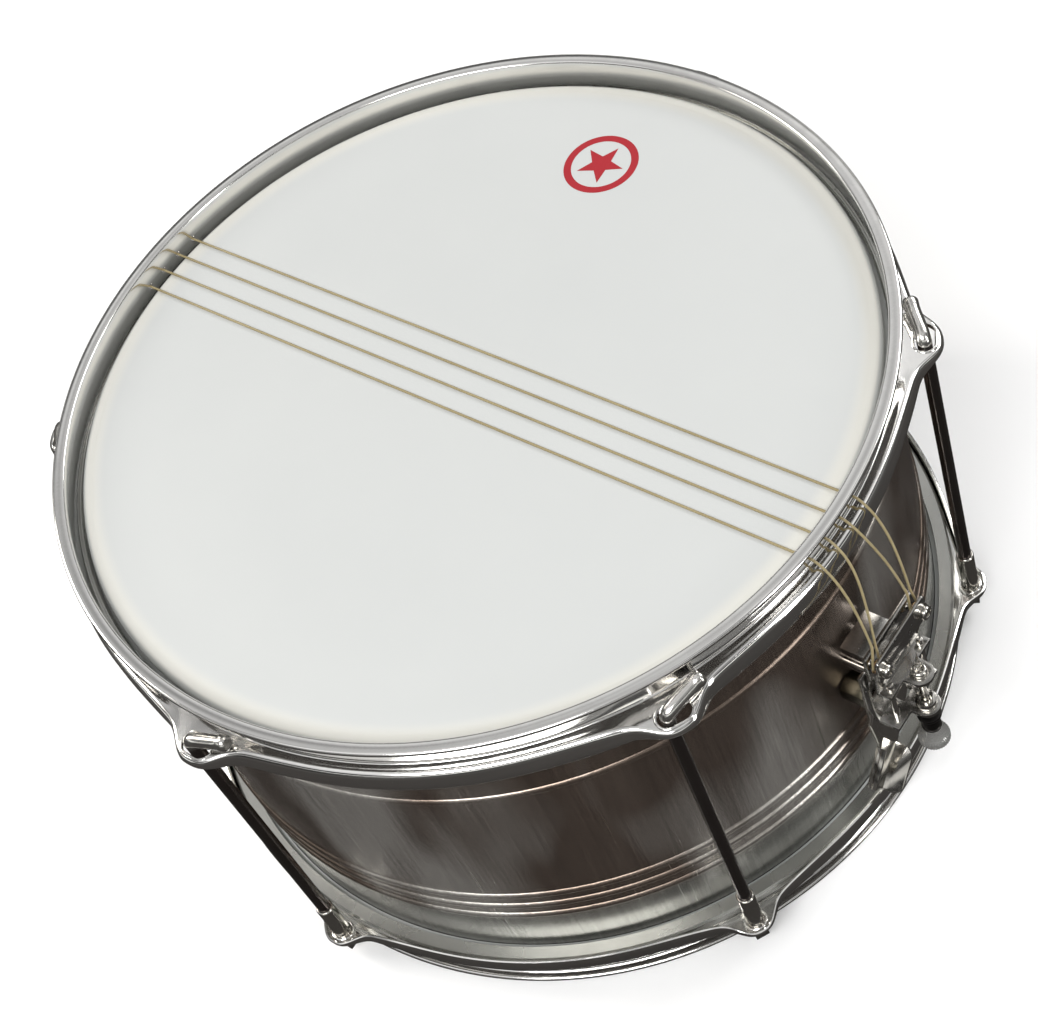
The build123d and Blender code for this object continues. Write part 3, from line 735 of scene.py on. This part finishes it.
def hoop_mesh(name, middle, half):
    """Upper hoop, swept round the drum with a section that swells at each ear."""
    points = []
    faces = []
    angles = hoop_angles()
    for angle in angles:
        along = radians(off_lug(angle)) * ROD_CIRCLE / MM
        for r, depth in hoop_section(along, middle, half):
            points.append(
                (r * MM * cos(radians(angle)), r * MM * sin(radians(angle)), HEIGHT - depth * MM)
            )
    count = len(hoop_section(0, middle, half))
    for i in range(len(angles)):
        here = i * count
        there = ((i + 1) % len(angles)) * count
        for j in range(count):
            k = (j + 1) % count
            faces.append((here + j, here + k, there + k, there + j))
    piece = new_piece(name, points, faces)
    only(piece)
    bpy.ops.object.mode_set(mode="EDIT")
    bpy.ops.mesh.select_all(action="SELECT")
    bpy.ops.mesh.normals_make_consistent(inside=False)
    bpy.ops.object.mode_set(mode="OBJECT")
    return piece


def stadium(width, length):
    """Outline of a slot at azimuth 0: width across, length along +Y from the lug."""
    half = width / 2
    near = arc((ROD_CIRCLE, 0), half, 180, 360, 10)
    far = arc((ROD_CIRCLE, length - width), half, 0, 180, 10)
    return near + far


def lug_turns(size):
    """Rotation to each lug in turn."""
    return [Matrix.Rotation(radians(FIRST_LUG + lug * LUG_STEP), size, "Z") for lug in range(LUGS)]


def slot_cutter(width, length, low, high):
    """Prisms for all six ears at once."""
    points = []
    faces = []
    ring = stadium(width, length)
    for turn in lug_turns(3):
        base = len(points)
        for z in (low, high):
            points += [turn @ Vector((x, y, z)) for x, y in ring]
        n = len(ring)
        faces.append(tuple(base + i for i in reversed(range(n))))
        faces.append(tuple(base + n + i for i in range(n)))
        faces += [
            (base + i, base + (i + 1) % n, base + n + (i + 1) % n, base + n + i) for i in range(n)
        ]
    return new_piece("cutter", points, faces)


def rim_beads(width, length, height, slope):
    """Raised lip round each ear's hole: a round bead bent along the slot."""
    curves = bpy.data.curves.new("ear_rims", "CURVE")
    curves.dimensions = "3D"
    curves.bevel_depth = SHEET / 2 * MM
    curves.bevel_resolution = 3
    ring = stadium(width, length)
    for turn in lug_turns(3):
        spline = curves.splines.new("POLY")
        spline.points.add(len(ring) - 1)
        for place, (x, y) in zip(spline.points, ring):
            p = turn @ Vector((x, y, height - slope * (x - ROD_CIRCLE)))
            place.co = (*p, 1)
        spline.use_cyclic_u = True
    return solid_curve("ear_rims", curves)


def cut(piece, cutter):
    use(piece, "BOOLEAN", object=cutter, operation="DIFFERENCE", solver="EXACT")
    bpy.data.objects.remove(cutter)


TURNED_OVER = Matrix.Translation((0, 0, HEIGHT)) @ Matrix.Rotation(pi, 4, "X")


def make_hoops():
    """Both hoops: pressed ring, a hole and its lip at each ear, and holes for the strings above."""
    hole, slot = EAR_HOLE * MM, HOOK_SLOT * MM
    ear = HEIGHT - EAR_DEPTH * MM
    low, high = ear - 8 * MM, ear + 6 * MM
    top = hoop_mesh("upper_hoop", 3.0, 12.5)
    bottom = hoop_mesh("lower_hoop", 0.0, 10.0)
    cut(top, slot_cutter(hole, slot, low, high))
    for y in GUT_ROWS:
        bpy.ops.object.select_all(action="DESELECT")
        bpy.ops.mesh.primitive_cylinder_add(
            vertices=20,
            radius=1.3 * MM,
            depth=2 * (HOOP_BORE + 4) * MM,
            location=(0, y * MM, GUT_LEVEL * MM),
            rotation=(0, pi / 2, 0),
        )
        cut(top, bpy.context.active_object)
    join(top, rim_beads(hole + 1.0 * MM, slot + 1.0 * MM, ear + 0.35 * MM, 0.10))
    cut(bottom, slot_cutter(hole, hole, low, high))
    join(bottom, rim_beads(hole + 1.2 * MM, hole + 1.2 * MM, ear - 1.7 * MM, 0.10))
    bottom.data.transform(TURNED_OVER)
    settle(top, "drum", ["top_hoop"], "chrome", 40)
    settle(bottom, "drum", ["bottom_hoop"], "chrome", 40)


make_hoops()


# ------------------------------------------------------------------ heads
def spun(name, outline, steps=256):
    """Piece turned about the drum's axis from a (radius, height) outline in millimetres."""
    points = [(r * MM, 0, z * MM) for r, z in outline]
    edges = [(i, i + 1) for i in range(len(points) - 1)]
    piece = new_piece(name, points, [], edges)
    only(piece)
    bpy.ops.object.mode_set(mode="EDIT")
    bpy.ops.mesh.select_all(action="SELECT")
    bpy.ops.mesh.spin(steps=steps, angle=2 * pi, center=(0, 0, 0), axis=(0, 0, 1), use_auto_merge=True)
    bpy.ops.mesh.select_all(action="SELECT")
    bpy.ops.mesh.remove_doubles(threshold=0.00002)
    bpy.ops.mesh.normals_make_consistent(inside=False)
    bpy.ops.object.mode_set(mode="OBJECT")
    return piece


def head_outline():
    """Section of a head: surface, step to the collar, rounded bearing edge, hem."""
    top = HEAD_TOP / MM
    film = 0.4
    outline = [(0, top), (60, top), (120, top), (160, top), (170.5, top)]
    outline += [(171.4, top - 0.12), (172.4, top - 0.18), (173.8, top - 0.1), (174.6, top - 0.16)]
    outline += [(175.6, top - 0.6), (176.3, top - 1.2), (176.6, top - 2.0)]
    outline += [(176.6, top - 7.8), (178.4, top - 8.0), (178.4, top - 8.4), (176.25, top - 8.4)]
    outline += [(176.25, top - 2.1), (175.8, top - 1.5), (174.6, top - 0.62)]
    outline += [(170, top - film), (0, top - film)]
    return outline


def make_heads():
    """Playing head, and the same head turned over below."""
    upper = spun("playing_head", head_outline())
    lower = own_copy(upper, "resonant_head")
    lower.data.transform(TURNED_OVER)
    settle(upper, "drum", ["top_head"], "head_film", 50)
    settle(lower, "drum", ["bottom_head"], "head_film", 50)


make_heads()


def make_mark():
    """Plain red ring with a star, printed on the playing surface."""
    centre = Vector((-15.7, 128.0, HEAD_TOP / MM + 0.04))
    lean = radians(-12)
    points = []
    faces = []

    def band(outline_a, outline_b):
        base = len(points)
        n = len(outline_a)
        points.extend(outline_a + outline_b)
        for i in range(n):
            k = (i + 1) % n
            faces.append((base + i, base + k, base + n + k, base + n + i))

    def spot(radius, angle):
        x, y = radius * cos(angle + lean), radius * sin(angle + lean)
        return tuple((centre + Vector((x, y, 0))) * MM)

    turns = [2 * pi * i / 72 for i in range(72)]
    band([spot(17.5, a) for a in turns], [spot(14.0, a) for a in turns])
    tips = [2 * pi * i / 10 + pi / 2 for i in range(10)]
    star = [spot(11.4 if i % 2 == 0 else 4.7, a) for i, a in enumerate(tips)]
    base = len(points)
    points.append(spot(0, 0))
    points.extend(star)
    faces.extend((base, base + 1 + i, base + 1 + (i + 1) % 10) for i in range(10))
    mark = new_piece("printed_mark", points, faces)
    for polygon in mark.data.polygons:
        if polygon.normal.z < 0:
            polygon.flip()
    mark.data.materials.append(red_print())
    settle(mark, "drum")


make_mark()


# ------------------------------------------------------------------ rods and nuts
def around(piece, name):
    """Joins turned copies of a piece modelled at azimuth 0 into one, a copy at each lug."""
    copies = []
    for turn in lug_turns(4):
        twin = own_copy(piece, name)
        twin.data.transform(turn)
        copies.append(twin)
    bpy.data.objects.remove(piece)
    return join(*copies)


def make_rods():
    """Rods with the thick rounded hook that lies over the ear's hole."""
    r = ROD_CIRCLE / MM
    route = [
        (r, 0, 24.0, 0.93),
        (r, 0, 24.6, 1.0),
        (r, 0, 120, 1.0),
        (r, 0, 188, 1.0),
        (r, 0, 195.5, 1.03),
        (r - 0.1, 0.3, 199.2, 1.10),
        (r - 1.0, 3.6, 200.6, 1.13),
        (r - 2.6, 9.0, 201.5, 1.10),
        (r - 4.2, 14.5, 202.4, 1.08),
        (r - 4.6, 15.8, 202.7, 1.20),
        (r - 5.2, 18.2, 203.2, 1.18),
        (r - 5.4, 18.9, 203.35, 0.85),
    ]
    rod = solid_curve("rod", bar_curve("rod", route, ROD / 2, 8, 5))
    rods = around(rod, "hooked_rods")
    settle(rods, "drum", ["tension_rods"], "dark_rod", 40)


make_rods()
for number in range(1, LUGS + 1):
    eased_copy(f"tension_nut_{number}", NUT_EASE)


# ------------------------------------------------------------------ adjuster knob
def make_knob():
    """Knob with a dark neck and a bright foot with milled grips."""
    low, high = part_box("adjuster_knob")
    middle = (low + high) / 2
    foot = low.z / MM
    outline = [(0, 0.4), (4.6, 0.4), (5.0, 0), (6.1, 0), (6.7, 0.5), (6.95, 1.0), (6.95, 3.2)]
    outline += [(6.7, 3.8), (6.0, 4.6), (5.2, 5.9), (4.6, 7.6), (4.3, 9.6), (4.1, 10.6), (4.3, 11.1)]
    outline += [(4.3, 11.8), (3.9, 12.2), (3.85, 19.2), (3.5, 20), (2.1, 20), (2.1, 8), (0, 8)]
    steps = 144
    milled_beyond, groove = 6.3 * MM, 0.28 * MM
    knob = spun("milled_knob", [(r, z + foot) for r, z in outline], steps)
    for vertex in knob.data.vertices:
        reach = hypot(vertex.co.x, vertex.co.y)
        if reach > milled_beyond:
            turn = atan2(vertex.co.y, vertex.co.x) * steps / (2 * pi)
            if int(turn + steps + 0.5) % 4 < 2:
                vertex.co.x *= 1 - groove / reach
                vertex.co.y *= 1 - groove / reach
    knob.data.transform(Matrix.Translation((middle.x, middle.y, 0)))
    settle(knob, "adjuster", ["adjuster_knob"], "nickel", 25)
    knob.data.materials.clear()
    knob.data.materials.append(milled_foot)
    knob.data.materials.append(finish_of["black_steel"])
    neck = low.z + 11.0 * MM
    for polygon in knob.data.polygons:
        if polygon.center.z > neck:
            polygon.material_index = 1


make_knob()

# ------------------------------------------------------------------ strainer and small parts
PLATES = ("strainer_base", "tension_slide", "clamp_bracket", "clamp_bar", "throw_lever")
BUTT_PLATES = ("butt_bracket", "butt_clamp_bar")
FIXINGS = ("strainer_standoffs", "butt_standoffs", "clamp_screws", "butt_clamp_screws")
ADJUSTER_PARTS = ("adjuster_nut", "adjuster_collar", "adjuster_screw", "clamp_guide_pins")
for node in PLATES + BUTT_PLATES:
    eased_copy(node, PLATE_EASE)
for node in FIXINGS + ADJUSTER_PARTS:
    eased_copy(node, SMALL_EASE)
